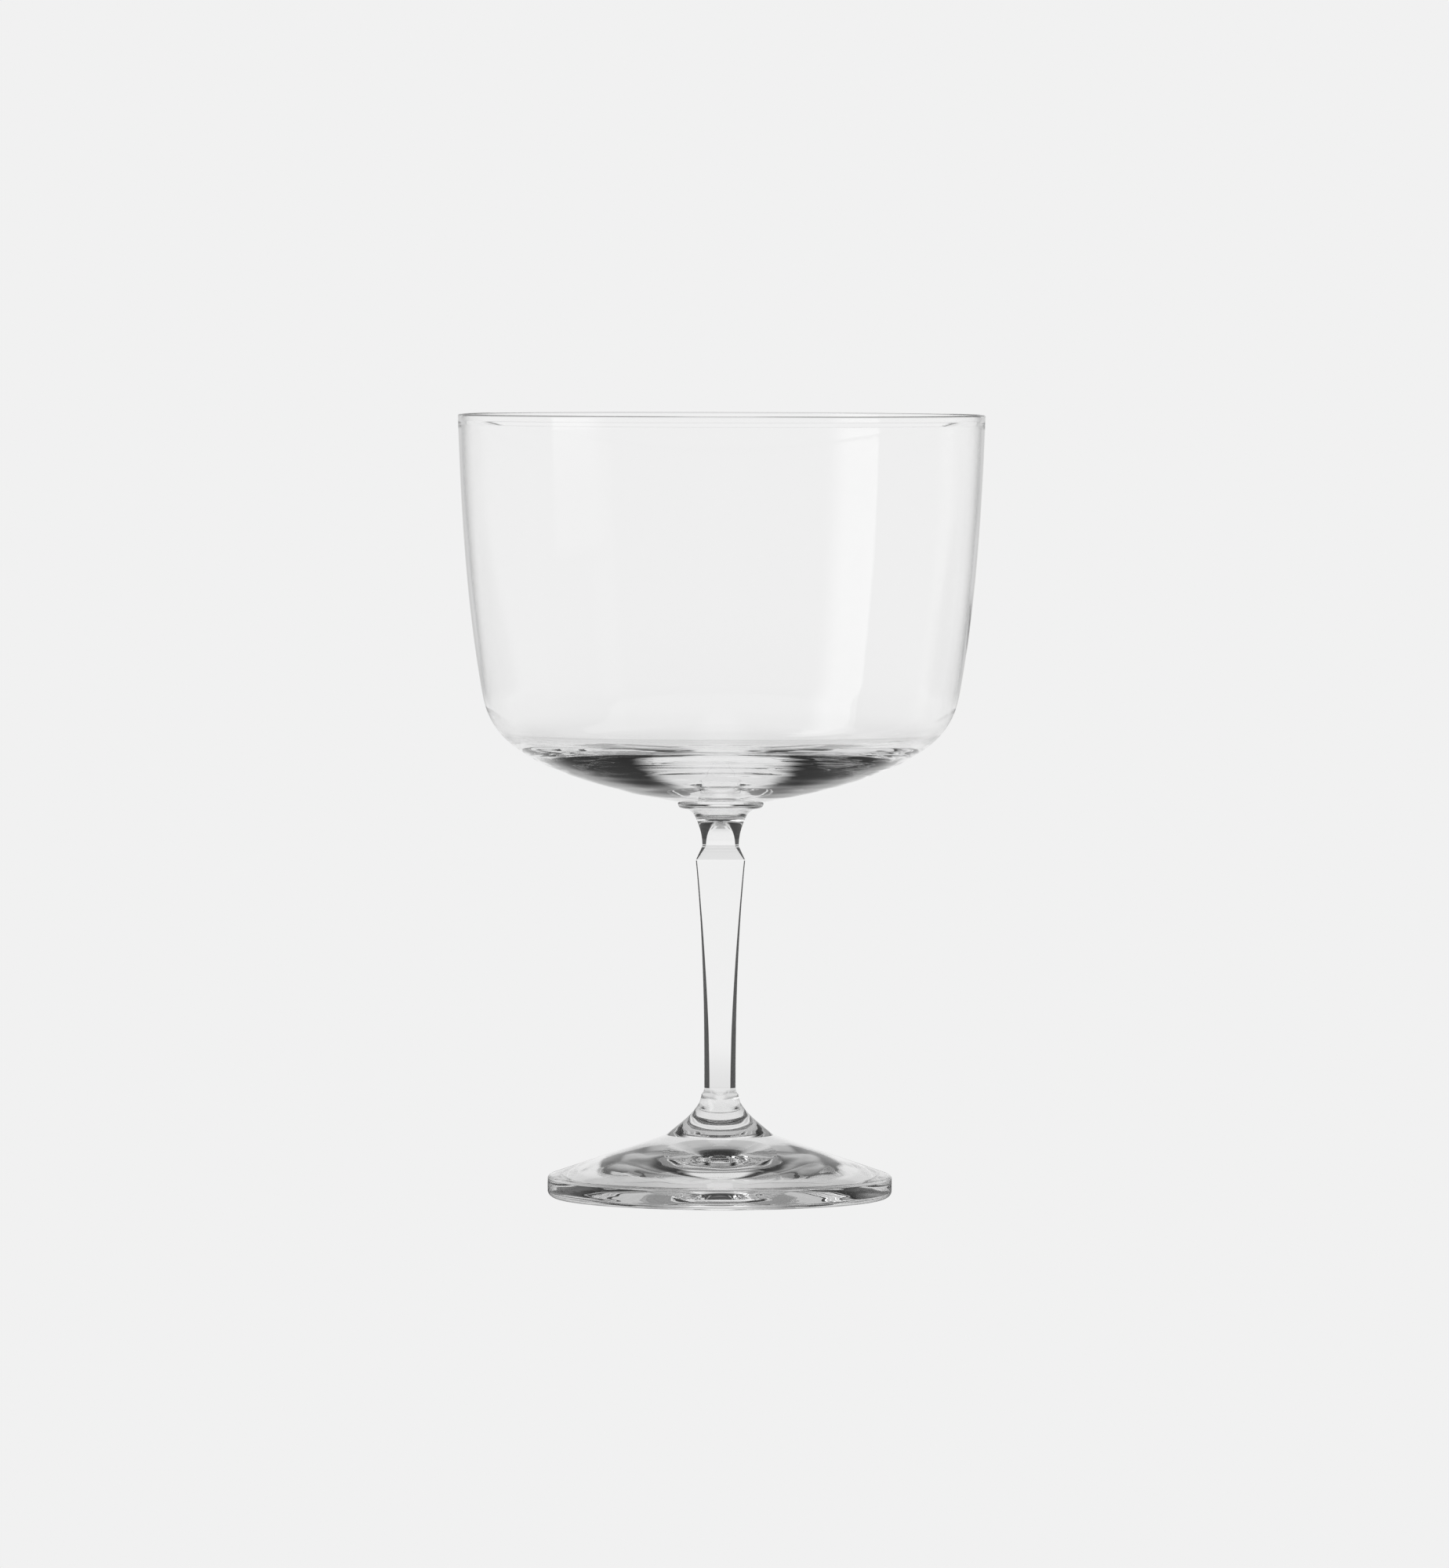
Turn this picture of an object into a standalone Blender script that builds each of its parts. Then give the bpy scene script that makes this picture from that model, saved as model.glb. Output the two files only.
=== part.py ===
"""Stemmed dessert coupe in clear glass: blown bowl, merese, four-sided stem and pressed foot.

Units are metres, +Z is up and the origin lies on the table under the glass's axis.
"""

import math

import bmesh
import bpy
from mathutils import Matrix, Vector
from mathutils.geometry import interpolate_bezier

# Seams: the hot glass pieces are fused, and each seam keeps this clearance.
FUSE_GAP = 0.0003

# Foot: a low pressed cone with a thick rounded edge, hollowed so that it stands on a ring.
# The hollow is a dome, and a fullness above 2 makes it flatter in the middle.
FOOT_RADIUS = 0.0374
FOOT_HEIGHT = 0.01339
FOOT_EDGE_HEIGHT = 0.0046
FOOT_EDGE_TOP_ROUND = 0.0010
FOOT_EDGE_BOTTOM_ROUND = 0.0016
FOOT_RING_WIDTH = 0.0030
FOOT_HOLLOW_HEIGHT = 0.0055
FOOT_HOLLOW_FULLNESS = 2.3

# Stem: flared base, four tapering flats with rounded corners, shoulder, four-sided neck and
# round head. A corner is how far the turned blank stands out past the flats, and a taper is the
# power by which a size swells.
STEM_LENGTH = 0.07066
STEM_BASE_RADIUS = 0.0116
STEM_FLARE_HEIGHT = 0.00886
STEM_FLARE_SLOPE = math.radians(41)
FLAT_WAIST = 0.0034
FLAT_RUNOUT = 0.0055
CORNER_WAIST = 0.00064
CORNER_SHOULDER = 0.00205
CORNER_NECK = 0.0014
SHOULDER_LEDGE = 0.0014
SHOULDER_RISE = 0.0029
NECK_FLAT = 0.00395
NECK_HEIGHT = 0.0110
HEAD_FLARE_HEIGHT = 0.0038
STEM_HEAD_RADIUS = 0.0084
HEAD_CLEARANCE = 0.0004
FLAT_TAPER = 2.4
CORNER_TAPER = 2.0

# Merese: the thin wafer that joins the stem's head to the bowl, rounded in below a narrow lip.
MERESE_THICKNESS = 0.0010
MERESE_FLARE = 0.0009
MERESE_LIP = 0.0002
MERESE_ROUND = 0.0001

# Bowl: steep slightly barrelled wall, tight heel, low conical base and a thick flat floor.
BOWL_HEIGHT = 0.08405
RIM_RADIUS = 0.0572
RIM_WALL = 0.00085
RIM_BEAD = 0.0010
RIM_BEAD_HEIGHT = 0.0022
HEEL_INSET = 0.0053
HEEL_HEIGHT = 0.02405
HEEL_WALL = 0.0009
FLOOR_THICKNESS = 0.00945
RIM_DRAFT = math.radians(2)
HEEL_DRAFT = math.radians(10)
BASE_SLOPE = math.radians(10.5)

# Fullness: how far a curve follows its end direction before it turns, as a share of its span.
WALL_FULLNESS = 0.333
HEEL_FULLNESS = 0.374
BASE_FULLNESS = 0.875
INNER_HEEL_FULLNESS = 0.95
FLOOR_FULLNESS = 0.77
FLARE_TOP_FULLNESS = 0.37
FLARE_BASE_FULLNESS = 0.55

# Facets
TURNED_STEPS = 64
STEM_STEPS = 48
WALL_POINTS = 8
HEEL_POINTS = 11
FLARE_POINTS = 9
SHAFT_POINTS = 9
ROUND_POINTS = 4
HOLLOW_POINTS = 10
MERGE_DISTANCE = 0.00001

# Levels and radii that neighbouring pieces share
STEM_BOTTOM = FOOT_HEIGHT + FUSE_GAP
MERESE_BOTTOM = STEM_BOTTOM + STEM_LENGTH + FUSE_GAP
BOWL_BOTTOM = MERESE_BOTTOM + MERESE_THICKNESS + FUSE_GAP
MERESE_RADIUS = STEM_HEAD_RADIUS + MERESE_FLARE
FLAT_SHOULDER = NECK_FLAT + SHOULDER_LEDGE
SHOULDER_LEVEL = STEM_LENGTH - NECK_HEIGHT
NECK_LEVEL = SHOULDER_LEVEL + SHOULDER_RISE
WAIST_LEVEL = STEM_FLARE_HEIGHT + FLAT_RUNOUT / 4


def clear_glass(name, tint):
    """Soda-lime glass with the faint tint of its thickness."""
    material = bpy.data.materials.new(name)
    material.use_nodes = True
    shader = material.node_tree.nodes["Principled BSDF"]
    shader.inputs["Base Color"].default_value = (*tint, 1.0)
    shader.inputs["Roughness"].default_value = 0.02
    shader.inputs["Metallic"].default_value = 0.0
    shader.inputs["IOR"].default_value = 1.52
    shader.inputs["Transmission Weight"].default_value = 1.0
    return material


def curve(start, start_handle, end, end_handle, points):
    """Points of a smooth curve in the (radius, height) plane, from its ends and their handles."""
    a = Vector(start)
    b = Vector(end)
    return interpolate_bezier(a, a + Vector(start_handle), b + Vector(end_handle), b, points)


def upward(angle_from_axis, length):
    """A step up and outwards, at an angle from the axis."""
    return Vector((math.sin(angle_from_axis), math.cos(angle_from_axis))) * length


def fillet(before, corner, after, radius):
    """Points of the arc that rounds a corner of a profile."""
    corner = Vector(corner)
    back = (Vector(before) - corner).normalized()
    onward = (Vector(after) - corner).normalized()
    half_angle = back.angle(onward) / 2
    middle = (back + onward).normalized()
    centre = corner + middle * radius / math.sin(half_angle)
    sweep = math.copysign(math.pi / 2 - half_angle, back.cross(onward))
    turns = [sweep * (1 - 2 * i / ROUND_POINTS) for i in range(ROUND_POINTS + 1)]
    return [centre - Matrix.Rotation(t, 2) @ middle * radius for t in turns]


def quarter_ellipse(start, end, points):
    """Points that leave the start upright and arrive at the end level."""
    turns = [i / points * math.pi / 2 for i in range(points + 1)]
    width = end[0] - start[0]
    rise = end[1] - start[1]
    return [(end[0] - width * math.cos(t), start[1] + rise * math.sin(t)) for t in turns]


def add_object(name, mesh):
    piece = bpy.data.objects.new(name, mesh)
    bpy.context.scene.collection.objects.link(piece)
    return piece


def turned(name, profile, steps):
    """A solid of revolution. Its profile starts on the axis and runs down the outer side."""
    mesh = bpy.data.meshes.new(name)
    points = [(radius, 0.0, height) for radius, height in profile]
    mesh.from_pydata(points, [(i, i + 1) for i in range(len(points) - 1)], [])
    piece = add_object(name, mesh)
    screw = piece.modifiers.new("turn", "SCREW")
    screw.steps = steps
    screw.render_steps = steps
    screw.use_merge_vertices = True
    screw.merge_threshold = MERGE_DISTANCE
    screw.use_smooth_shade = True
    return piece


def square_loft(name, stations):
    """A four-sided solid through (half width, height) stations, with its flats on X and Y."""
    bm = bmesh.new()
    half, height = stations[0]
    place = Matrix.Translation((0, 0, height)) @ Matrix.Rotation(math.pi / 4, 4, "Z")
    bmesh.ops.create_circle(bm, segments=4, radius=half * math.sqrt(2), matrix=place)
    outline = bm.edges[:]
    for next_half, next_height in stations[1:]:
        grown = bmesh.ops.extrude_edge_only(bm, edges=outline)["geom"]
        outline = [item for item in grown if isinstance(item, bmesh.types.BMEdge)]
        corners = [item for item in grown if isinstance(item, bmesh.types.BMVert)]
        factor = next_half / half
        bmesh.ops.scale(bm, vec=(factor, factor, 1), verts=corners)
        bmesh.ops.translate(bm, vec=(0, 0, next_height - height), verts=corners)
        half, height = next_half, next_height
    bmesh.ops.holes_fill(bm, edges=bm.edges[:], sides=4)
    bmesh.ops.recalc_face_normals(bm, faces=bm.faces[:])
    mesh = bpy.data.meshes.new(name)
    bm.to_mesh(mesh)
    bm.free()
    return add_object(name, mesh)


def cut_to(piece, tool):
    """Keeps what a piece shares with a tool solid, which itself isn't part of the glass."""
    tool.hide_render = True
    tool.display_type = "WIRE"
    boolean = piece.modifiers.new("cut", "BOOLEAN")
    boolean.operation = "INTERSECT"
    boolean.solver = "EXACT"
    boolean.object = tool


def make_foot():
    seat = (STEM_BASE_RADIUS, FOOT_HEIGHT)
    edge_top = (FOOT_RADIUS, FOOT_EDGE_HEIGHT)
    edge_bottom = (FOOT_RADIUS, 0.0)
    ring_inner = FOOT_RADIUS - FOOT_EDGE_BOTTOM_ROUND - FOOT_RING_WIDTH
    shares = [1 - i / HOLLOW_POINTS for i in range(HOLLOW_POINTS + 1)]
    hollow = [
        (ring_inner * share, FOOT_HOLLOW_HEIGHT * (1 - share**FOOT_HOLLOW_FULLNESS))
        for share in shares
    ]
    profile = [
        (0.0, FOOT_HEIGHT),
        seat,
        *fillet(seat, edge_top, edge_bottom, FOOT_EDGE_TOP_ROUND),
        *fillet(edge_top, edge_bottom, (0.0, 0.0), FOOT_EDGE_BOTTOM_ROUND),
        *hollow,
    ]
    return turned("foot", profile, TURNED_STEPS)


def shaft_size(waist, shoulder, taper, level):
    """A size that swells from the shaft's waist up to its shoulder."""
    share = (level - WAIST_LEVEL) / (SHOULDER_LEVEL - WAIST_LEVEL)
    return waist + (shoulder - waist) * share**taper


def make_stem():
    """A turned blank, cut to four flats that run from its flared base up into its head."""
    shaft_levels = [
        WAIST_LEVEL + (SHOULDER_LEVEL - WAIST_LEVEL) * i / SHAFT_POINTS
        for i in range(SHAFT_POINTS + 1)
    ]
    waist_radius = FLAT_WAIST + CORNER_WAIST
    shoulder_radius = FLAT_SHOULDER + CORNER_SHOULDER
    neck_radius = NECK_FLAT + CORNER_NECK

    head = quarter_ellipse(
        (neck_radius, STEM_LENGTH - HEAD_FLARE_HEIGHT),
        (STEM_HEAD_RADIUS, STEM_LENGTH),
        FLARE_POINTS,
    )
    flare_span = STEM_BASE_RADIUS - waist_radius
    flare_foot = Vector((-math.cos(STEM_FLARE_SLOPE), math.sin(STEM_FLARE_SLOPE)))
    flare = curve(
        (waist_radius, STEM_FLARE_HEIGHT),
        (0.0, -STEM_FLARE_HEIGHT * FLARE_TOP_FULLNESS),
        (STEM_BASE_RADIUS, 0.0),
        flare_foot * flare_span * FLARE_BASE_FULLNESS,
        FLARE_POINTS,
    )
    blank = [
        (0.0, STEM_LENGTH),
        *reversed(head),
        (neck_radius, NECK_LEVEL),
        *[
            (shaft_size(waist_radius, shoulder_radius, CORNER_TAPER, level), level)
            for level in reversed(shaft_levels)
        ],
        *flare,
        (0.0, 0.0),
    ]
    stem = turned("stem", blank, STEM_STEPS)

    # At either end the flats lift off the blank, so they end in a curve on its flare.
    clear_of_base = STEM_BASE_RADIUS + STEM_FLARE_HEIGHT
    clear_of_head = STEM_HEAD_RADIUS + HEAD_CLEARANCE
    runout = quarter_ellipse(
        (FLAT_WAIST, WAIST_LEVEL), (clear_of_base, WAIST_LEVEL - FLAT_RUNOUT), FLARE_POINTS
    )
    neck = quarter_ellipse((NECK_FLAT, NECK_LEVEL), (clear_of_head, STEM_LENGTH), FLARE_POINTS)
    flats = [
        (clear_of_base, -STEM_FLARE_HEIGHT),
        *reversed(runout[1:]),
        *[
            (shaft_size(FLAT_WAIST, FLAT_SHOULDER, FLAT_TAPER, level), level)
            for level in shaft_levels
        ],
        *neck,
        (clear_of_head, STEM_LENGTH + NECK_HEIGHT),
    ]
    cut_to(stem, square_loft("stem_flats", flats))
    return stem


def make_merese():
    top = (MERESE_RADIUS, MERESE_THICKNESS)
    lip = (MERESE_RADIUS, MERESE_THICKNESS - MERESE_LIP)
    profile = [
        (0.0, MERESE_THICKNESS),
        *fillet((0.0, MERESE_THICKNESS), top, lip, MERESE_ROUND),
        *quarter_ellipse(lip, (STEM_HEAD_RADIUS, 0.0), FLARE_POINTS),
        (0.0, 0.0),
    ]
    return turned("merese", profile, TURNED_STEPS)


def make_bowl():
    """Inside from the floor's centre up to the rim, then down the outside to the pad."""
    heel_radius = RIM_RADIUS - HEEL_INSET
    wall_run = (BOWL_HEIGHT - HEEL_HEIGHT) * WALL_FULLNESS
    outer_heel = (heel_radius, HEEL_HEIGHT)
    inner_heel = (heel_radius - HEEL_WALL, HEEL_HEIGHT)
    bead = RIM_BEAD / 2
    bead_centre = (RIM_RADIUS - bead, BOWL_HEIGHT - bead)

    floor = curve(
        (0.0, FLOOR_THICKNESS),
        (inner_heel[0] * FLOOR_FULLNESS, 0.0),
        inner_heel,
        -upward(HEEL_DRAFT, (HEEL_HEIGHT - FLOOR_THICKNESS) * INNER_HEEL_FULLNESS),
        HEEL_POINTS,
    )
    inner_wall = curve(
        inner_heel,
        upward(HEEL_DRAFT, wall_run),
        (RIM_RADIUS - RIM_WALL, BOWL_HEIGHT - RIM_BEAD_HEIGHT),
        -upward(RIM_DRAFT, wall_run),
        WALL_POINTS,
    )
    rim_turns = [math.pi * (1 - i / (2 * ROUND_POINTS)) for i in range(2 * ROUND_POINTS + 1)]
    rim = [
        (bead_centre[0] + bead * math.cos(t), bead_centre[1] + bead * math.sin(t))
        for t in rim_turns
    ]
    outer_wall = curve(
        rim[-1],
        -upward(RIM_DRAFT, wall_run),
        outer_heel,
        upward(HEEL_DRAFT, wall_run),
        WALL_POINTS,
    )
    pad = (MERESE_RADIUS, 0.0)
    base_run = (heel_radius - MERESE_RADIUS) * BASE_FULLNESS
    base = curve(
        outer_heel,
        -upward(HEEL_DRAFT, HEEL_HEIGHT * HEEL_FULLNESS),
        pad,
        upward(math.pi / 2 - BASE_SLOPE, base_run),
        HEEL_POINTS,
    )
    profile = [*floor, *inner_wall[1:], *rim, *outer_wall[1:], *base[1:], (0.0, 0.0)]
    return turned("bowl", profile, TURNED_STEPS)


def main():
    for old in list(bpy.data.objects):
        bpy.data.objects.remove(old)

    axis = bpy.data.objects.new("coupe", None)
    bpy.context.scene.collection.objects.link(axis)

    pressed = (0.955, 0.965, 0.96)
    blown = (0.98, 0.985, 0.983)
    stacked = [
        (make_foot(), 0.0, pressed),
        (make_stem(), STEM_BOTTOM, pressed),
        (make_merese(), MERESE_BOTTOM, pressed),
        (make_bowl(), BOWL_BOTTOM, blown),
    ]
    for piece, level, tint in stacked:
        piece.data.materials.append(clear_glass(piece.name + "_glass", tint))
        piece.parent = axis
        piece.location.z = level
        for modifier in piece.modifiers:
            if modifier.type == "BOOLEAN":
                modifier.object.parent = axis
                modifier.object.location.z = level


main()
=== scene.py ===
import math

import bmesh
import bpy
from mathutils import Matrix, Vector, noise
from mathutils.geometry import interpolate_bezier


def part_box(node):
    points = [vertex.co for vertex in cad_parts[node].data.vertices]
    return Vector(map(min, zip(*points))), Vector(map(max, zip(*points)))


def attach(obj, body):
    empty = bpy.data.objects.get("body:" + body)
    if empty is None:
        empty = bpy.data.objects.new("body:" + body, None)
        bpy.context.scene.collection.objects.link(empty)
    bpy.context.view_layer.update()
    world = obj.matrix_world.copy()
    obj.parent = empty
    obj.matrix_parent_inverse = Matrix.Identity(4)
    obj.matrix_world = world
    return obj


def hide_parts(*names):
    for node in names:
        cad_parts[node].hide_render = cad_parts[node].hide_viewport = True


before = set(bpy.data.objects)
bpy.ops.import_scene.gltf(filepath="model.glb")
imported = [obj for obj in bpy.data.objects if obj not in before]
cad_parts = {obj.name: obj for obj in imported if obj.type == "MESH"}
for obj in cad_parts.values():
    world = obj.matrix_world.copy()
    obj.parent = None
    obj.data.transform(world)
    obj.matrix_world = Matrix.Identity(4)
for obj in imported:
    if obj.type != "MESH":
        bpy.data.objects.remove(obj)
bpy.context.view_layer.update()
scene = bpy.context.scene
mm = 0.001
micron = 0.001 * mm
degree = math.radians(1)

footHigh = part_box("foot")[1]
stemLow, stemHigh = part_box("stem")
mereseLow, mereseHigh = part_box("merese")
bowlLow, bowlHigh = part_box("bowl")

# the solids keep a small gap at each fused seam, and the dressed pieces meet in its middle
footSeam = (footHigh.z + stemLow.z) / 2
stemSeam = (stemHigh.z + mereseLow.z) / 2
bowlSeam = (mereseHigh.z + bowlLow.z) / 2
print("frame loaded, seams at", [round(z / mm, 2) for z in (footSeam, stemSeam, bowlSeam)], "mm")


def toLinear(hexText):
    channels = [int(hexText[i:i + 2], 16) / 255 for i in (1, 3, 5)]
    return (*[c / 12.92 if c <= 0.04045 else ((c + 0.055) / 1.055) ** 2.4 for c in channels], 1.0)


def feed(tree, socket, value):    # links a socket to another one, or sets a plain value on it
    if isinstance(value, bpy.types.NodeSocket):
        tree.links.new(value, socket)
    else:
        socket.default_value = value


def addNode(tree, kind, inputs=None, **settings):
    node = tree.nodes.new(kind)
    for name, value in settings.items():
        if hasattr(node, name):
            setattr(node, name, value)
        else:
            feed(tree, node.inputs[name.replace("_", " ")], value)
    for name, value in (inputs or {}).items():
        feed(tree, node.inputs[name], value)
    return node


def reckon(tree, operation, *values):
    return addNode(tree, "ShaderNodeMath", dict(enumerate(values)), operation=operation).outputs[0]


def both(tree, first, second):    # a product, which is full only where both are
    return reckon(tree, "MULTIPLY", first, second)


def mixed(tree, share, first, second):
    return addNode(tree, "ShaderNodeMix", {0: share, 2: first, 3: second}).outputs[0]


def mapped(tree, source, start, end, low=0.0, high=1.0, kind="LINEAR"):
    return addNode(tree, "ShaderNodeMapRange", {"Value": source}, From_Min=start, From_Max=end, To_Min=low,
                   To_Max=high, interpolation_type=kind).outputs[0]


def eased(tree, *values):
    return mapped(tree, *values, kind="SMOOTHSTEP")


def greyRamp(tree, source, stops, unit=1.0):     # stops are places in the unit, each with a level of grey
    start, end = stops[0][0], stops[-1][0]
    ramp = addNode(tree, "ShaderNodeValToRGB", {"Fac": mapped(tree, source, start * unit, end * unit)})
    ramp.color_ramp.interpolation = "EASE"
    found = ramp.color_ramp.elements
    found.remove(found[1])
    for i, (place, grey) in enumerate(stops):
        share = (place - start) / (end - start)
        stop = found[0] if i == 0 else found.new(share)
        stop.position, stop.color = share, (grey, grey, grey, 1)
    return ramp.outputs["Color"]


def newMaterial(name):
    material = bpy.data.materials.new(name)
    material.use_nodes = True
    tree = material.node_tree
    tree.nodes.clear()
    return material, tree, addNode(tree, "ShaderNodeOutputMaterial").inputs["Surface"]


def curveThrough(start, startHandle, end, endHandle, points):
    a, b = Vector(start), Vector(end)
    return interpolate_bezier(a, a + Vector(startHandle), b + Vector(endHandle), b, points)


def leaning(degrees, length):     # a step up and outwards, at an angle from the axis
    return Vector((math.sin(math.radians(degrees)), math.cos(math.radians(degrees)))) * length


def cornerArc(before, corner, after, radius, points):
    corner = Vector(corner)
    back = (Vector(before) - corner).normalized()
    onward = (Vector(after) - corner).normalized()
    half = back.angle(onward) / 2
    middle = (back + onward).normalized()
    centre = corner + middle * radius / math.sin(half)
    sweep = math.copysign(math.pi / 2 - half, back.cross(onward))
    spoke = -middle * radius
    found = []
    for i in range(points + 1):
        t = sweep * (1 - 2 * i / points)
        found.append(centre + Vector((spoke.x * math.cos(t) - spoke.y * math.sin(t),
                                      spoke.x * math.sin(t) + spoke.y * math.cos(t))))
    return found


def straight(start, end, points):
    a, b = Vector(start), Vector(end)
    return [a.lerp(b, i / points) for i in range(points + 1)]


def spinProfile(profile, steps):
    bm = bmesh.new()
    line = [bm.verts.new((p[0], 0.0, p[1])) for p in profile]
    edges = [bm.edges.new(pair) for pair in zip(line, line[1:])]
    bmesh.ops.spin(bm, geom=line + edges, cent=(0, 0, 0), axis=(0, 0, 1), dvec=(0, 0, 0),
                   angle=2 * math.pi, steps=steps, use_merge=True, use_duplicate=False)
    bmesh.ops.remove_doubles(bm, verts=bm.verts[:], dist=micron / 2)
    bmesh.ops.recalc_face_normals(bm, faces=bm.faces[:])
    return bm


def outward(p):                   # how far a point lies from the axis
    return math.hypot(p.x, p.y)


def upward(p):
    return p.z


def bump(x, low, high, soft):     # 1 between two levels, 0 outside, eased over a width
    t = min(max(min(x - low, high - x) / soft, 0), 1)
    return t * t * (3 - 2 * t)


# hot glass cools with slow waves in its surface: each rule has a wave (height, length across, length up), how
# much of it a point takes, and what counts as up: outward makes the waves run as rings round the axis
def setWaves(bm, *rules):
    bm.normal_update()
    moves = []
    for v in bm.verts:
        height = 0.0
        for (most, across, rise), share, along in rules:
            part = share(v.co)
            if part > 0:
                spot = Vector((v.co.x / across, v.co.y / across, along(v.co) / rise))
                height += most * part * noise.noise(spot * 2)      # a whole wave of the noise is two units
        moves.append(v.normal * height)
    for v, move in zip(bm.verts, moves):
        v.co += move


def finishPiece(bm, name, material, seams):
    for face in bm.faces:
        face.smooth = True
        face.material_index = int(any(all(abs(v.co.z - z) < micron for v in face.verts) for z in seams))
    for edge in bm.edges:
        if len({f.material_index for f in edge.link_faces}) > 1:
            edge.smooth = False
    mesh = bpy.data.meshes.new(name)
    bm.to_mesh(mesh)
    bm.free()
    mesh.materials.append(material)
    mesh.materials.append(fusedSeam)
    piece = bpy.data.objects.new(name, mesh)
    scene.collection.objects.link(piece)
    print(name, len(mesh.vertices), "points,", len(mesh.polygons), "faces")
    return piece


glassNoise = {
    "wave": {"Detail": 1.0, "Roughness": 0.4},
    "cord": {"Detail": 2.0, "Roughness": 0.5, "Distortion": 0.6},
    "film": {"Detail": 4.0, "Roughness": 0.6},
}
filmSpan = (0.45, 0.75)           # the part of the film's noise that shows


# the surface of clear glass: slow waves with finer cords in them, and a film of handling marks that barely
# softens what it mirrors
def glassSurface(name, look):
    material, tree, surface = newMaterial(name)
    where = addNode(tree, "ShaderNodeTexCoord").outputs["Object"]
    stretched = addNode(tree, "ShaderNodeMapping", Vector=where, Scale=look["stretch"]).outputs[0]

    def layer(kind, spot):
        scale = 1 / look[kind + "Length"]
        return addNode(tree, "ShaderNodeTexNoise", Vector=spot, Scale=scale, **glassNoise[kind]).outputs[0]

    slow = addNode(tree, "ShaderNodeBump", Height=layer("wave", stretched), Strength=1.0,
                   Distance=look["waveHeight"])
    fine = addNode(tree, "ShaderNodeBump", Height=layer("cord", stretched), Normal=slow.outputs[0],
                   Strength=1.0, Distance=look["cordHeight"])
    haze = mapped(tree, layer("film", where), *filmSpan, 0.0, look["film"])
    shader = addNode(tree, "ShaderNodeBsdfPrincipled", Normal=fine.outputs[0], Roughness=haze,
                     Base_Color=toLinear(look["colour"]), IOR=look["bend"], Transmission_Weight=1.0)
    feed(tree, surface, shader.outputs[0])
    return material


# blown soda-lime glass, turned in a wet mould: long waves round its wall make what lies behind swim a little
blownLook = {
    "colour": "#FEFEFE",
    "bend": 1.52,                 # index of soda-lime glass
    "stretch": (1.0, 1.0, 0.6),
    "waveLength": 14 * mm,
    "waveHeight": 0.004 * mm,
    "cordLength": 2.5 * mm,
    "cordHeight": 0.0006 * mm,
    "filmLength": 9 * mm,
    "film": 0.012,                # roughness where the film is thickest
}
# pressed soda-lime glass, fire-polished: the mould's chill leaves a shorter ripple, so its lights break up
pressedLook = {
    "colour": "#FEFEFE",
    "bend": 1.52,
    "stretch": (1.0, 1.0, 1.0),
    "waveLength": 4 * mm,
    "waveHeight": 0.003 * mm,
    "cordLength": 1.2 * mm,
    "cordHeight": 0.0004 * mm,
    "filmLength": 5 * mm,
    "film": 0.015,
}


# fused seam: hot glass runs together, so light passes with nothing to bend it
def seamGlass():
    material, tree, surface = newMaterial("fused_seam")
    feed(tree, surface, addNode(tree, "ShaderNodeBsdfPrincipled", Alpha=0.0, Roughness=0.0).outputs[0])
    return material


blown = glassSurface("blown_soda_lime_glass", blownLook)
pressed = glassSurface("pressed_soda_lime_glass", pressedLook)
fusedSeam = seamGlass()

bowlShape = {
    "wall": 0.85 * mm,            # at the rim
    "bead": 1.0 * mm,             # thickness of the fire-polished rim
    "beadHeight": 2.2 * mm,
    "heelInset": 5.3 * mm,        # how much narrower the heel is than the rim
    "heelHeight": 24.05 * mm,     # above the bowl's lowest level
    "heelWall": 0.9 * mm,
    "floor": 9.45 * mm,           # thickness of the solid floor at its middle
    "rimLean": 2.0,               # degrees
    "heelLean": 10.0,
    "baseSlope": 10.5,
    "wallFull": 0.333,            # how far each curve keeps its direction, as a share of its run
    "heelFull": 0.374,
    "baseFull": 0.875,
    "innerHeelFull": 0.98,
    "floorFull": 0.88,
    "floorPoints": 90,
    "wallPoints": 60,
    "lipPoints": 16,
    "padPoints": 6,
    "steps": 200,
    "floorWave": (0.040 * mm, 16 * mm, 16 * mm),
    "baseWave": (0.030 * mm, 12 * mm, 5 * mm),
    "wallWave": (0.012 * mm, 22 * mm, 40 * mm),
    "ringWave": (0.13 * mm, 51 * mm, 7 * mm),     # turning marks underneath: fine lines in the base's middle
    "skin": 1.0 * mm,             # parts the floor's points from those of the base
    "waveInset": 6 * mm,          # from the ends of the floor's and the wall's waves to the heel and the rim
    "waveSoft": 12 * mm,
    "wallWaveDrop": 8 * mm,       # how far down past the heel the wall's waves go
    "padClear": 0.5 * mm,
    "baseWaveSoft": 8 * mm,
}


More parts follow.
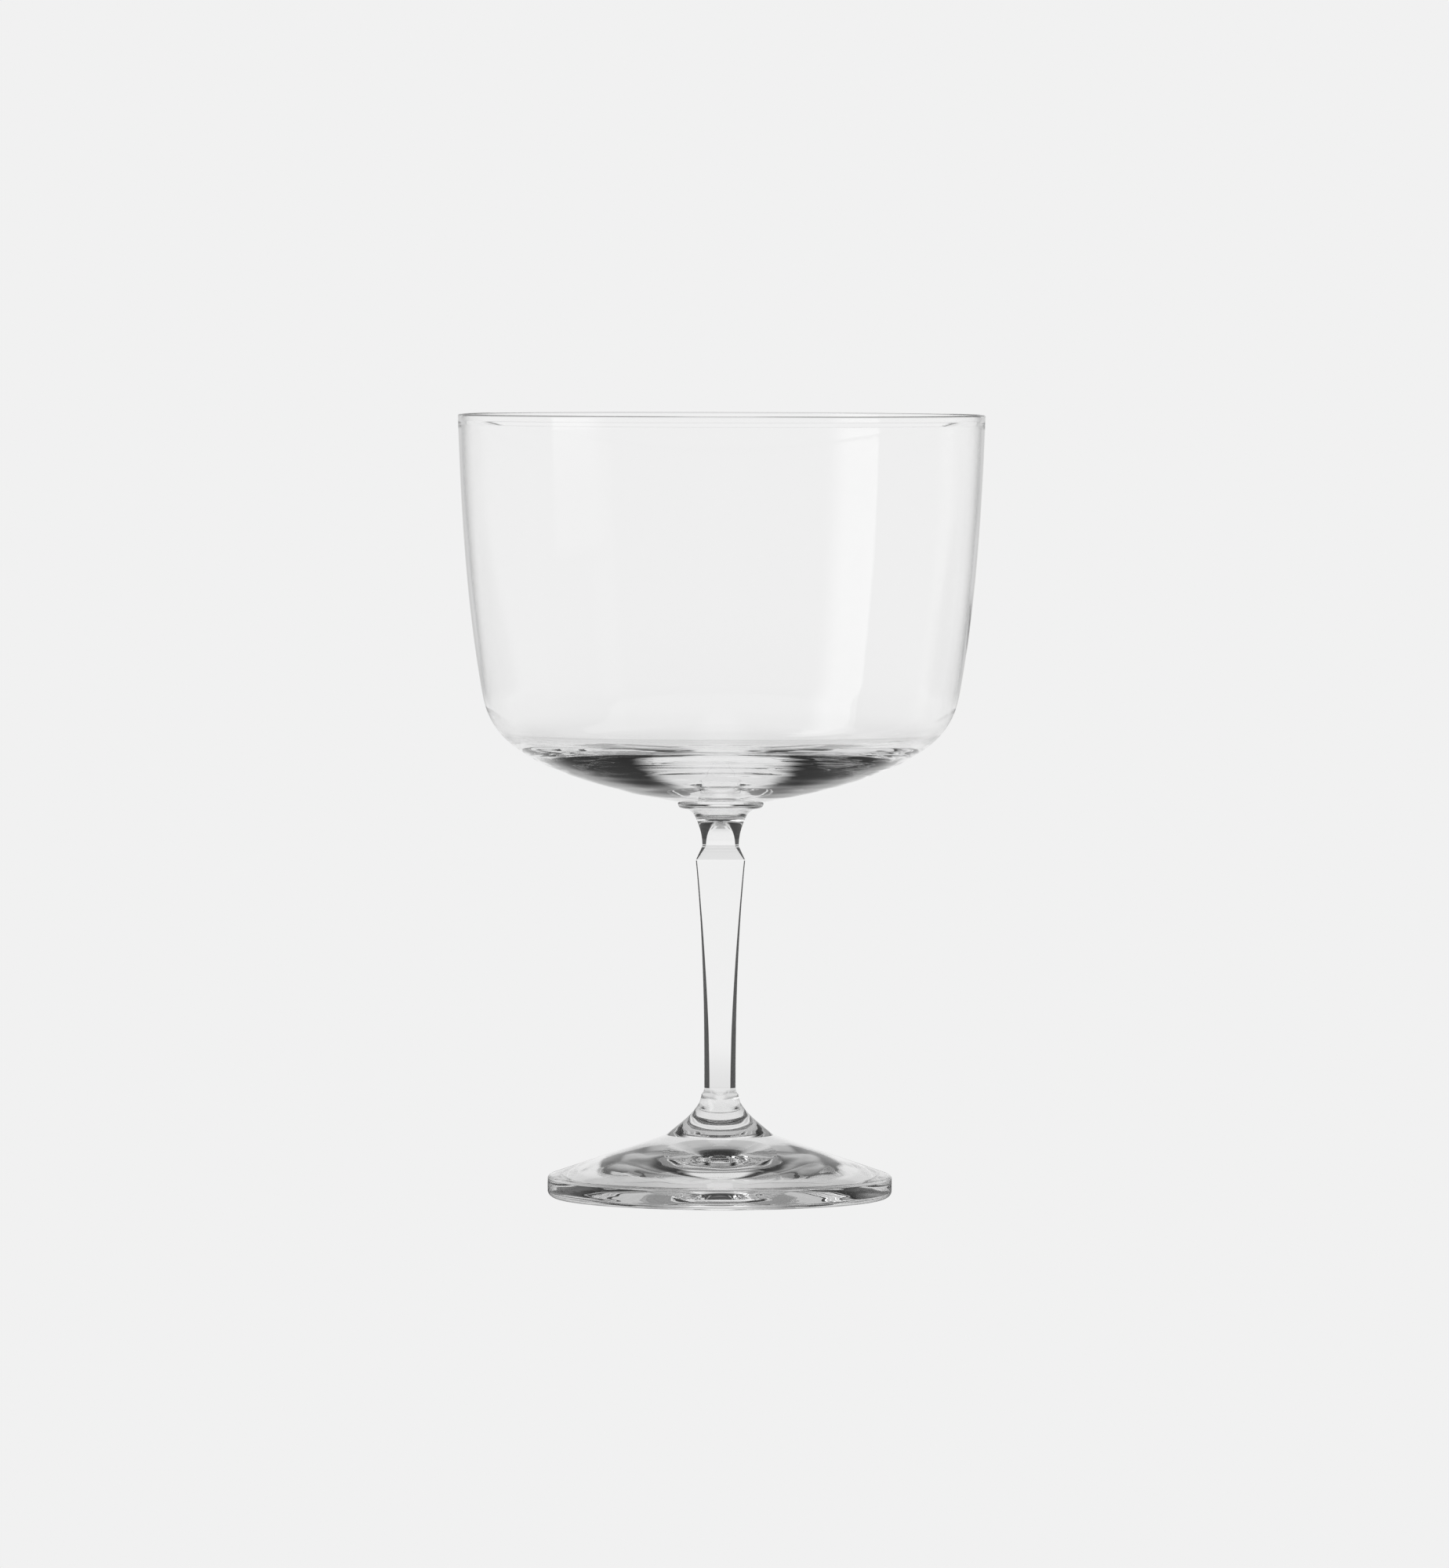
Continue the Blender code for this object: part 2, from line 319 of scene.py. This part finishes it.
def buildBowl():
    s = bowlShape
    top, bottom, rim = bowlHigh.z, bowlSeam, bowlHigh.x
    heelRadius = rim - s["heelInset"]
    heelLevel = bowlLow.z + s["heelHeight"]
    floorLevel = bowlLow.z + s["floor"]
    run = (top - heelLevel) * s["wallFull"]
    outerHeel, innerHeel = (heelRadius, heelLevel), (heelRadius - s["heelWall"], heelLevel)
    floorRise = (heelLevel - floorLevel) * s["innerHeelFull"]
    floor = curveThrough((0, floorLevel), (innerHeel[0] * s["floorFull"], 0), innerHeel,
                         -leaning(s["heelLean"], floorRise), s["floorPoints"])
    innerWall = curveThrough(innerHeel, leaning(s["heelLean"], run), (rim - s["wall"], top - s["beadHeight"]),
                             -leaning(s["rimLean"], run), s["wallPoints"])
    bead = s["bead"] / 2
    lip = [(rim - bead - bead * math.cos(t), top - bead + bead * math.sin(t))
           for t in [math.pi * i / s["lipPoints"] for i in range(s["lipPoints"] + 1)]]
    outerWall = curveThrough(lip[-1], -leaning(s["rimLean"], run), outerHeel, leaning(s["heelLean"], run),
                             s["wallPoints"])
    pad = (mereseHigh.x, bottom)
    baseRun = (heelRadius - mereseHigh.x) * s["baseFull"]
    base = curveThrough(outerHeel, -leaning(s["heelLean"], s["heelHeight"] * s["heelFull"]), pad,
                        leaning(90 - s["baseSlope"], baseRun), s["floorPoints"])
    profile = [*floor, *innerWall[1:], *lip, *outerWall[1:], *base[1:],
               *straight(pad, (0, bottom), s["padPoints"])[1:]]
    bm = spinProfile(profile, s["steps"])

    def inFloor(p):
        inner = bump(outward(p), -math.inf, heelRadius - s["waveInset"], s["waveSoft"])
        return inner * bump(p.z, floorLevel - s["skin"], heelLevel, s["skin"])

    def inBase(p):
        outer = bump(outward(p), mereseHigh.x + s["padClear"], heelRadius, s["baseWaveSoft"])
        return outer * bump(p.z, bottom, floorLevel - s["skin"], s["padClear"])

    def inWall(p):
        return bump(p.z, heelLevel - s["wallWaveDrop"], top - s["waveInset"], s["waveSoft"])

    setWaves(bm, (s["floorWave"], inFloor, upward), (s["baseWave"], inBase, upward),
             (s["wallWave"], inWall, upward), (s["ringWave"], inBase, outward))
    return finishPiece(bm, "bowl_blown", blown, [bottom])


mereseShape = {
    "lip": 0.3 * mm,              # an upright lip, rounded in below
    "topRound": 0.1 * mm,
    "topPoints": 8,
    "lipPoints": 3,
    "underPoints": 16,
    "flatPoints": 6,
    "steps": 160,
}


def buildMerese():
    s = mereseShape
    wide, lip, head = mereseHigh.x, bowlSeam - s["lip"], stemShape["headRadius"]
    upper = cornerArc((0, bowlSeam), (wide, bowlSeam), (wide, lip), s["topRound"], s["topPoints"])
    under = [(head + (wide - head) * math.cos(t), lip - (lip - stemSeam) * math.sin(t))
             for t in [math.pi / 2 * i / s["underPoints"] for i in range(s["underPoints"] + 1)]]
    profile = [*straight((0, bowlSeam), upper[0], s["flatPoints"]), *upper[1:],
               *straight(upper[-1], under[0], s["lipPoints"])[1:], *under[1:],
               *straight(under[-1], (0, stemSeam), s["flatPoints"])[1:]]
    return finishPiece(spinProfile(profile, s["steps"]), "merese_wafer", pressed, [bowlSeam, stemSeam])


stemShape = {
    "flareHeight": 8.86 * mm,
    "flareSlope": 41.0,           # degrees
    "flareTopFull": 0.37,
    "flareBaseFull": 0.55,
    "flarePoints": 200,
    "flatWaist": 3.4 * mm,        # from the axis to each flat, where the shaft is slimmest
    "flatRunout": 5.5 * mm,       # height over which the flats lift off at the flare
    "runoutAbove": 0.25,          # share of that height above the flare's top
    "runoutReach": 1.8,           # how far out the flats end, in radii of the flare
    "cornerWaist": 0.64 * mm,     # how far the rounded corners stand out past the flats
    "cornerShoulder": 2.05 * mm,
    "cornerNeck": 1.1 * mm,
    "shoulderLedge": 1.4 * mm,
    "shoulderRise": 2.9 * mm,
    "neckFlat": 3.95 * mm,
    "neckHeight": 11.0 * mm,
    "neckFall": 2.0,              # how quickly the neck's own shape gives way below it
    "headFlare": 3.8 * mm,
    "headRadius": 8.4 * mm,
    "headClear": 0.4 * mm,        # how far out the flats have lifted off at the head
    "flatTaper": 2.4,
    "cornerTaper": 2.0,
    "softEdge": 0.10 * mm,        # how much fire polishing rounds the edges
    "softRidge": 0.12 * mm,
    "flatShare": 0.6,             # share of a quarter turn's points that lie on the flat
    "creaseSpan": (20, 43),       # degrees from a flat's middle to its edges, at least and at most
    "rings": 260,
    "headRings": 40,              # closer rings where the head flares out
    "turnWave": 0.045 * mm,       # rings left where the flare was drawn down and turned
    "turnPitch": 1.9 * mm,
    "turnSoft": 1.2 * mm,
    "shaftWave": (0.010 * mm, 9 * mm, 26 * mm),
    "shaftSoft": 2 * mm,
    "steps": 160,
}


def softMin(a, b, k):
    h = max(k - abs(a - b), 0.0) / k
    return min(a, b) - h * h * k / 4


def softMax(a, b, k):
    return -softMin(-a, -b, k)


def buildStem():
    s = stemShape
    low, high = footSeam, stemSeam
    waistLevel = low + s["flareHeight"] + s["flatRunout"] * s["runoutAbove"]
    shoulderLevel = high - s["neckHeight"]
    neckLevel = shoulderLevel + s["shoulderRise"]
    waistRadius = s["flatWaist"] + s["cornerWaist"]
    flatShoulder = s["neckFlat"] + s["shoulderLedge"]
    shoulderRadius = flatShoulder + s["cornerShoulder"]
    neckRadius = s["neckFlat"] + s["cornerNeck"]
    flatHead = s["headRadius"] + s["headClear"]
    baseRadius = stemHigh.x
    flareFoot = Vector((-math.cos(math.radians(s["flareSlope"])), math.sin(math.radians(s["flareSlope"]))))
    flare = curveThrough((waistRadius, low + s["flareHeight"]), (0, -s["flareHeight"] * s["flareTopFull"]),
                         (baseRadius, low), flareFoot * (baseRadius - waistRadius) * s["flareBaseFull"],
                         s["flarePoints"])

    def swelling(waist, shoulder, taper, z):
        share = (z - waistLevel) / (shoulderLevel - waistLevel)
        return waist + (shoulder - waist) * max(share, 0) ** taper

    def flareRadius(z):
        for a, b in zip(flare, flare[1:]):
            if b.y <= z <= a.y:
                return b.x + (a.x - b.x) * (z - b.y) / max(a.y - b.y, 1e-9)
        return waistRadius if z > flare[0].y else baseRadius

    def quarterUp(start, end, startLevel, z):     # leaves the start upright and ends level at the head
        share = min(max((z - startLevel) / (high - startLevel), 0), 1)
        return end - (end - start) * math.sqrt(1 - share * share)

    def aboveWaist(shaft, shoulder, neck, z):     # swells to the shoulder, slopes in, turns up the neck
        slope = shoulder - (z - shoulderLevel) * (shoulder - neck(neckLevel)) / s["shoulderRise"]
        upright = neck(z) - s["neckFall"] * max(neckLevel - z, 0)
        return softMax(softMin(shaft, slope, s["softRidge"]), upright, s["softRidge"])

    def roundSize(z):             # the turned blank that the flats are pressed into
        if z < waistLevel:
            share = bump(z, low, waistLevel, s["turnSoft"])
            ring = noise.noise(Vector((0.0, 0.0, 2 * z / s["turnPitch"])))
            return flareRadius(z) + s["turnWave"] * share * ring
        return aboveWaist(swelling(waistRadius, shoulderRadius, s["cornerTaper"], z), shoulderRadius,
                          lambda h: quarterUp(neckRadius, s["headRadius"], high - s["headFlare"], h), z)

    def flatSize(z):
        if z < waistLevel:
            lift = min((waistLevel - z) / s["flatRunout"], 1)
            reach = baseRadius * s["runoutReach"]
            return s["flatWaist"] + (reach - s["flatWaist"]) * (1 - math.sqrt(1 - lift * lift))
        return aboveWaist(swelling(s["flatWaist"], flatShoulder, s["flatTaper"], z), flatShoulder,
                          lambda h: quarterUp(s["neckFlat"], flatHead, neckLevel, h), z)

    # a plain tube, closer rings where the shape turns quickly, then pressed to its section
    levels = [low + (high - s["headFlare"] - low) * i / s["rings"] for i in range(s["rings"])]
    levels += [high - s["headFlare"] * (1 - math.sin(math.pi / 2 * i / s["headRings"]))
               for i in range(s["headRings"] + 1)]
    profile = [(0, high), *[(waistRadius, z) for z in reversed(levels)], (0, low)]
    bm = spinProfile(profile, s["steps"])
    creaseLeast, creaseMost = [math.radians(degrees) for degrees in s["creaseSpan"]]
    share = s["flatShare"]
    sizes = {}
    for v in bm.verts:
        if outward(v.co) < micron:
            continue
        level = round(v.co.z / micron)
        if level not in sizes:
            sizes[level] = flatSize(v.co.z), roundSize(v.co.z)
        flat, blank = sizes[level]
        turn = math.atan2(v.co.y, v.co.x)
        quarter = round(turn / (math.pi / 2)) * math.pi / 2
        along = (turn - quarter) / (math.pi / 4)
        crease = min(max(math.acos(min(flat / blank, 1)), creaseLeast), creaseMost)
        if abs(along) <= share:
            angle = along / share * crease
        else:
            angle = math.copysign(crease + (abs(along) - share) / (1 - share) * (math.pi / 4 - crease), along)
        radius = softMin(flat / math.cos(angle), blank, s["softEdge"])
        v.co.x = radius * math.cos(quarter + angle)
        v.co.y = radius * math.sin(quarter + angle)
    setWaves(bm, (s["shaftWave"], lambda p: bump(p.z, low, high, s["shaftSoft"]), upward))
    return finishPiece(bm, "stem_pressed", pressed, [low, high])


footShape = {
    "edgeHeight": 4.6 * mm,
    "edgeTopRound": 1.0 * mm,
    "edgeBottomRound": 1.6 * mm,
    "ringWidth": 3.0 * mm,        # the flat ring that it stands on
    "hollow": 5.5 * mm,           # height of the domed hollow underneath
    "hollowFull": 2.3,            # 2 is a plain dome, more is flatter in the middle
    "seatPoints": 6,
    "conePoints": 60,
    "topRoundPoints": 12,
    "edgePoints": 24,
    "bottomRoundPoints": 16,
    "ringPoints": 8,
    "hollowPoints": 60,
    "steps": 200,
    "edgeWave": (0.030 * mm, 44 * mm, 2.2 * mm),  # streaks along the edge, where the press closed
    "edgeWaveIn": 2.0 * mm,       # where each wave starts and ends, and how gently
    "edgeWaveSoft": 1.0 * mm,
    "edgeWaveLow": 0.4 * mm,
    "edgeWaveRise": 0.8 * mm,
    "topWave": (0.025 * mm, 14 * mm, 3.0 * mm),
    "topWaveIn": 1.5 * mm,
    "topWaveSoft": 4.0 * mm,
    "topWaveLow": 0.4 * mm,
    "topWaveRise": 0.3 * mm,
    "hollowWave": (0.030 * mm, 14 * mm, 3.0 * mm),
    "hollowWaveSoft": 3.0 * mm,
    "hollowWaveLow": 0.2 * mm,
    "hollowWaveClear": 1.0 * mm,
    "hollowWaveRise": 0.6 * mm,
}


def buildFoot():
    s = footShape
    radius, top = footHigh.x, footSeam
    seat = (stemHigh.x, top)
    edgeTop, edgeBottom = (radius, s["edgeHeight"]), (radius, 0.0)
    ringInner = radius - s["edgeBottomRound"] - s["ringWidth"]
    upper = cornerArc(seat, edgeTop, edgeBottom, s["edgeTopRound"], s["topRoundPoints"])
    lower = cornerArc(edgeTop, edgeBottom, (0, 0), s["edgeBottomRound"], s["bottomRoundPoints"])
    hollow = [(ringInner * share, s["hollow"] * (1 - share ** s["hollowFull"]))
              for share in [1 - i / s["hollowPoints"] for i in range(s["hollowPoints"] + 1)]]
    profile = [*straight((0, top), seat, s["seatPoints"]), *straight(seat, upper[0], s["conePoints"])[1:],
               *upper[1:], *straight(upper[-1], lower[0], s["edgePoints"])[1:], *lower[1:],
               *straight(lower[-1], hollow[0], s["ringPoints"])[1:], *hollow[1:]]
    bm = spinProfile(profile, s["steps"])
    widest = radius - s["edgeWave"][0]
    for v in bm.verts:            # room for the streaks inside the foot's full width
        reach = outward(v.co)
        if reach > widest:
            v.co.x, v.co.y = v.co.x * widest / reach, v.co.y * widest / reach

    def onEdge(p):
        outer = bump(outward(p), radius - s["edgeWaveIn"], math.inf, s["edgeWaveSoft"])
        return outer * bump(p.z, s["edgeWaveLow"], s["edgeHeight"], s["edgeWaveRise"])

    def onTop(p):
        outer = bump(outward(p), stemHigh.x, radius - s["topWaveIn"], s["topWaveSoft"])
        return outer * bump(p.z, s["edgeHeight"] - s["topWaveLow"], top, s["topWaveRise"])

    def inHollow(p):
        inner = bump(outward(p), -math.inf, ringInner, s["hollowWaveSoft"])
        return inner * bump(p.z, s["hollowWaveLow"], s["hollow"] + s["hollowWaveClear"], s["hollowWaveRise"])

    setWaves(bm, (s["edgeWave"], onEdge, upward), (s["topWave"], onTop, upward),
             (s["hollowWave"], inHollow, upward))
    return finishPiece(bm, "foot_pressed", pressed, [top])


pieces = {"bowl": buildBowl(), "merese": buildMerese(), "stem": buildStem(), "foot": buildFoot()}
for node, piece in pieces.items():
    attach(piece, "root")
    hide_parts(node)
print("pieces dressed")

# the studio is pale all round and underfoot, with a dark ceiling, one soft box and a few low cards; it tells
# light apart by how many surfaces of the glass have passed it on and how many have turned it back
room = {
    "backdrop": "#F1F1F1",
    "dome": [(-90, 1.0), (12, 1.0), (20, 0.88), (28, 0.66), (33, 0.44), (37, 0.12), (43, 0.04),
             (90, 0.04)],         # degrees above level, and the light there
    "highDome": [(-90, 1.0), (54, 1.0), (66, 0.12), (90, 0.12)],  # the same for light through the bowl's walls
    "freedTurns": 2.5,            # and for light turned back more often than this
    # degrees to either side, and the light there as the bowl's walls and then the stem's clear shaft show it
    "falloff": [(0.0, 1.0), (3.5, 1.0), (4.5, 0.93), (5.5, 0.88), (7.0, 0.82), (9.0, 0.68), (14.0, 0.42),
                (24.0, 0.35), (42.0, 1.0), (90.0, 1.0)],
    "edging": [(0.0, 1.0), (7.0, 1.0), (15.0, 0.03), (58.0, 0.03), (68.0, 1.0), (90.0, 1.0)],
    "sector": (13.0, 21.0),       # degrees to either side: caught light only meets the lit backdrop
    "sectorLevel": 0.03,
    "wallPasses": (3.5, 1.0),     # middle and half width of a count: three or four, for the bowl's walls
    "shaftPasses": (2.0, 0.5),    # two, for one piece such as the stem's shaft
    "caughtPasses": 4.5,          # the most for light caught in the glass
    "caughtTurns": (5.5, 4.0),    # two to nine
    "none": 0.5,                  # a count under this is none
}


# light turned back at least twice, or three times behind the bowl's walls, counts as caught in the glass; far
# and edgeFar say how much of a surface is backdrop for mirrored light and for the stem's shaft
def sortLight(tree, path, split, far=1.0, edgeFar=1.0):
    s = room
    passes, turns = path["Transmission Depth"], path["Glossy Depth"]
    walls = reckon(tree, "COMPARE", passes, *s["wallPasses"])
    often = reckon(tree, "COMPARE", reckon(tree, "SUBTRACT", turns, walls), *s["caughtTurns"])
    caught = both(tree, often, reckon(tree, "LESS_THAN", passes, s["caughtPasses"]))
    turn = reckon(tree, "ARCTAN2", reckon(tree, "ABSOLUTE", split.outputs["X"]), split.outputs["Y"])
    sector = eased(tree, turn, *[math.radians(degrees) for degrees in s["sector"]], 1.0, s["sectorLevel"])
    unturned = reckon(tree, "LESS_THAN", turns, s["none"])
    mirrored = both(tree, reckon(tree, "LESS_THAN", passes, s["none"]), far)
    shown = reckon(tree, "MAXIMUM", both(tree, unturned, walls), mirrored)
    walled = mixed(tree, shown, 1.0, greyRamp(tree, turn, s["falloff"], degree))
    shaft = both(tree, reckon(tree, "COMPARE", passes, *s["shaftPasses"]), unturned)
    edged = mixed(tree, both(tree, shaft, edgeFar), 1.0, greyRamp(tree, turn, s["edging"], degree))
    return {"caught": caught, "walls": walls, "sector": sector, "backdrop": both(tree, walled, edged)}


def glowing(name, colour):
    material, tree, surface = newMaterial(name)
    shader = addNode(tree, "ShaderNodeEmission", Color=colour)
    feed(tree, surface, shader.outputs[0])
    return material, tree, shader.inputs["Strength"]


def axisDistance(tree):           # how far to either side a point of the studio lies, and its place
    where = addNode(tree, "ShaderNodeTexCoord").outputs["Object"]
    split = addNode(tree, "ShaderNodeSeparateXYZ", {"Vector": where})
    return reckon(tree, "ABSOLUTE", split.outputs["X"]), split, where


floorLook = {
    "radius": 30.0,
    "sides": 96,
    "drop": 0.02 * mm,
    # distance from the axis, and the light there: darkest where the foot shades it
    "shade": [(0.0, 0.85), (0.020, 0.80), (0.036, 0.55), (0.050, 0.50), (0.075, 0.75), (0.130, 0.80),
              (0.300, 0.86), (0.600, 1.0)],
    "litAside": (0.005, 0.019),   # along the middle the floor is lit from behind, right up to the glass
    "litReach": (0.10, 0.20),     # how far from the axis that goes
    "litTurns": (1.0, 3.0),       # the more often the light was turned back, the less it sees of that
    "litLevels": (0.92, 0.32),
    "mirrorFar": (0.6, 1.5),      # where the floor starts to count as backdrop for mirrored light
    "edgingFar": (0.62, 0.80),    # and for light through the shaft of the stem
    "caughtReach": (0.030, 0.060),                # caught light only meets the floor close to the axis
    "lateReach": (1.5, 3.0),      # but out to here if it was turned back more often than lateTurns
    "lateTurns": 7.5,
    "darkAside": (0.012, 0.034),  # away from the middle it looks dark, mirrored in the outside of the glass
    "darkReach": (0.12, 0.26),
    "darkMost": 0.85,
}


def lightTable():
    s = floorLook
    material, tree, strength = glowing("light_table", toLinear(room["backdrop"]))
    path = addNode(tree, "ShaderNodeLightPath").outputs
    aside, split, where = axisDistance(tree)
    reach = addNode(tree, "ShaderNodeVectorMath", {0: where}, operation="LENGTH").outputs["Value"]
    outer = reckon(tree, "MAXIMUM", eased(tree, aside, *s["litAside"]), eased(tree, reach, *s["litReach"]))
    middle = mapped(tree, path["Glossy Depth"], *s["litTurns"], *s["litLevels"])
    shade = mixed(tree, outer, middle, greyRamp(tree, reach, s["shade"]))
    far, edgeFar = [mapped(tree, reach, *s[name]) for name in ("mirrorFar", "edgingFar")]
    light = sortLight(tree, path, split, far, edgeFar)
    late = reckon(tree, "GREATER_THAN", path["Glossy Depth"], s["lateTurns"])
    start, end = [mapped(tree, late, 0.0, 1.0, *reaches) for reaches in zip(s["caughtReach"], s["lateReach"])]
    dimmed = both(tree, light["caught"], eased(tree, reach, start, end))
    lit = mixed(tree, dimmed, shade, both(tree, shade, light["sector"]))
    close = eased(tree, reach, *s["darkReach"], s["darkMost"], 0.0)
    dark = both(tree, close, eased(tree, aside, *s["darkAside"]))
    mirrored = reckon(tree, "LESS_THAN", path["Transmission Depth"], room["none"])
    kept = reckon(tree, "SUBTRACT", 1.0, both(tree, dark, mirrored))
    level = both(tree, both(tree, lit, light["backdrop"]), kept)
    feed(tree, strength, mixed(tree, path["Is Camera Ray"], level, 1.0))
    return material


def buildFloor():
    s = floorLook
    bm = bmesh.new()
    bmesh.ops.create_circle(bm, cap_ends=True, segments=s["sides"], radius=s["radius"])
    bmesh.ops.translate(bm, vec=(0, 0, -s["drop"]), verts=bm.verts[:])
    mesh = bpy.data.meshes.new("floor")
    bm.to_mesh(mesh)
    bm.free()
    mesh.materials.append(lightTable())
    floor = bpy.data.objects.new("floor", mesh)
    scene.collection.objects.link(floor)


def placeCard(name, start, end, s, material):     # an upright strip from start to end
    bm = bmesh.new()
    line = [bm.verts.new((*spot, s["low"])) for spot in (start, end)]
    pulled = bmesh.ops.extrude_edge_only(bm, edges=[bm.edges.new(line)])["geom"]
    bmesh.ops.translate(bm, vec=(0, 0, s["high"] - s["low"]),
                        verts=[v for v in pulled if isinstance(v, bmesh.types.BMVert)])
    mesh = bpy.data.meshes.new(name)
    bm.to_mesh(mesh)
    bm.free()
    mesh.materials.append(material)
    card = bpy.data.objects.new(name, mesh)
    scene.collection.objects.link(card)
    card.visible_camera = False
    card.visible_diffuse = False
    card.visible_shadow = False


softBox = {
    "start": (-0.755, -0.656),
    "end": (-0.976, -0.216),
    "low": -0.02,
    "high": 2.0,
    "aside": (0.755, 0.855),      # distances to the side between which it comes up to its level
    "edge": 0.90,
    "rise": (0.04, 0.22),         # heights between which it brightens upwards
    "levels": (1.05, 1.8),
}


def boxCloth():
    s = softBox
    material, tree, strength = glowing("soft_box_cloth", (1, 1, 1, 1))
    aside, split, _ = axisDistance(tree)
    brightest = eased(tree, split.outputs["Z"], *s["rise"], *s["levels"])
    feed(tree, strength, eased(tree, aside, *s["aside"], s["edge"], brightest))
    return material


# low dark cards that the lower end of the stem's shaft shows
darkCards = {
    "gap": 0.015,                 # half the clear opening between the two sides
    "distance": 0.100,            # from the axis to that opening
    "turn": 0.0525,               # how far out the corner card ends, where the side card takes over
    "sideEnd": 0.030,             # how far behind the axis the side card ends
    "low": 0.010,
    "high": 0.034,
    "turns": (0.0, 0.5),
    "soft": 0.015,                # width over which a card comes to its full darkness
    "level": 0.02,
}
# paler ones either side of the foot, which light turned back in it shows
wingCards = {
    "start": (0.030, 0.078),
    "end": (0.085, -0.010),
    "low": 0.0,
    "high": 0.058,
    "turns": (5.0, 3.2),
    "soft": 0.007,
    "rise": (0.006, 0.018),       # heights between which they pale upwards
    "levels": (0.10, 0.55),
}


# the cloth of a card is clear but for light that crossed one piece of glass and was turned back as often as
# turns says, as middle and half width of the count
def cardCloth(name, s, start):
    material, tree, surface = newMaterial(name)
    path = addNode(tree, "ShaderNodeLightPath").outputs
    aside, split, _ = axisDistance(tree)
    passed = reckon(tree, "COMPARE", path["Transmission Depth"], *room["shaftPasses"])
    turned = reckon(tree, "COMPARE", path["Glossy Depth"], *s["turns"])
    cover = both(tree, both(tree, passed, turned), eased(tree, aside, start, start + s["soft"]))
    level = mapped(tree, split.outputs["Z"], *s["rise"], *s["levels"]) if "rise" in s else s["level"]
    dark = addNode(tree, "ShaderNodeEmission", Strength=level)
    clear = addNode(tree, "ShaderNodeBsdfTransparent")
    pick = addNode(tree, "ShaderNodeMixShader", {0: cover, 1: clear.outputs[0], 2: dark.outputs[0]})
    feed(tree, surface, pick.outputs[0])
    return material


def buildCards():
    dark, wing = darkCards, wingCards
    darkCloth = cardCloth("dark_card_cloth", dark, dark["gap"])
    wingCloth = cardCloth("wing_card_cloth", wing, wing["start"][0])
    cornerBack = dark["distance"] - (dark["turn"] - dark["gap"]) / 2
    for hand, side in {"right": 1, "left": -1}.items():
        corner = (side * dark["turn"], cornerBack)
        placeCard("corner_card_" + hand, (side * dark["gap"], dark["distance"]), corner, dark, darkCloth)
        placeCard("side_card_" + hand, corner, (side * dark["distance"], dark["sideEnd"]), dark, darkCloth)
        ends = [(side * x, y) for x, y in (wing["start"], wing["end"])]
        placeCard("wing_card_" + hand, *ends, wing, wingCloth)
    placeCard("soft_box", softBox["start"], softBox["end"], softBox, boxCloth())


def buildRoom():
    s = room
    world = bpy.data.worlds.new("studio")
    world.use_nodes = True
    scene.world = world
    tree = world.node_tree
    tree.nodes.clear()
    path = addNode(tree, "ShaderNodeLightPath").outputs
    where = addNode(tree, "ShaderNodeTexCoord").outputs["Generated"]
    split = addNode(tree, "ShaderNodeSeparateXYZ", {"Vector": where})
    rise = reckon(tree, "ARCSINE", split.outputs["Z"])
    light = sortLight(tree, path, split)
    freed = reckon(tree, "GREATER_THAN", path["Glossy Depth"], s["freedTurns"])
    dome, highDome = [greyRamp(tree, rise, s[name], degree) for name in ("dome", "highDome")]
    ceiling = mixed(tree, reckon(tree, "MAXIMUM", freed, light["walls"]), dome, highDome)
    lit = mixed(tree, light["caught"], ceiling, both(tree, ceiling, light["sector"]))
    level = mixed(tree, path["Is Camera Ray"], both(tree, lit, light["backdrop"]), 1.0)
    glow = addNode(tree, "ShaderNodeBackground", Strength=level, Color=toLinear(s["backdrop"]))
    addNode(tree, "ShaderNodeOutputWorld", {"Surface": glow.outputs[0]})


buildFloor()
buildCards()
buildRoom()
print("studio built")

view = {
    "distance": 2.323,
    "height": 0.190,
    "aside": 0.82 * mm,
    "pitch": 2.47,                # degrees below level
    "roll": 0.15,
    "lens": 246.0,
    "sensor": 36.0,
    "farthest": 100.0,
}


def placeCamera():
    data = bpy.data.cameras.new("camera")
    data.lens = view["lens"]
    data.sensor_width = view["sensor"]
    data.clip_end = view["farthest"]
    camera = bpy.data.objects.new("camera", data)
    tilt = Matrix.Rotation(math.radians(90 - view["pitch"]), 4, "X")
    roll = Matrix.Rotation(math.radians(view["roll"]), 4, "Z")
    camera.matrix_world = Matrix.Translation((view["aside"], -view["distance"], view["height"])) @ tilt @ roll
    scene.collection.objects.link(camera)
    scene.camera = camera


placeCamera()
scene.view_settings.view_transform = "Standard"
scene.cycles.max_bounces = 120    # light is caught many times over in the thick base and the foot
scene.cycles.glossy_bounces = 110
scene.cycles.transmission_bounces = 40
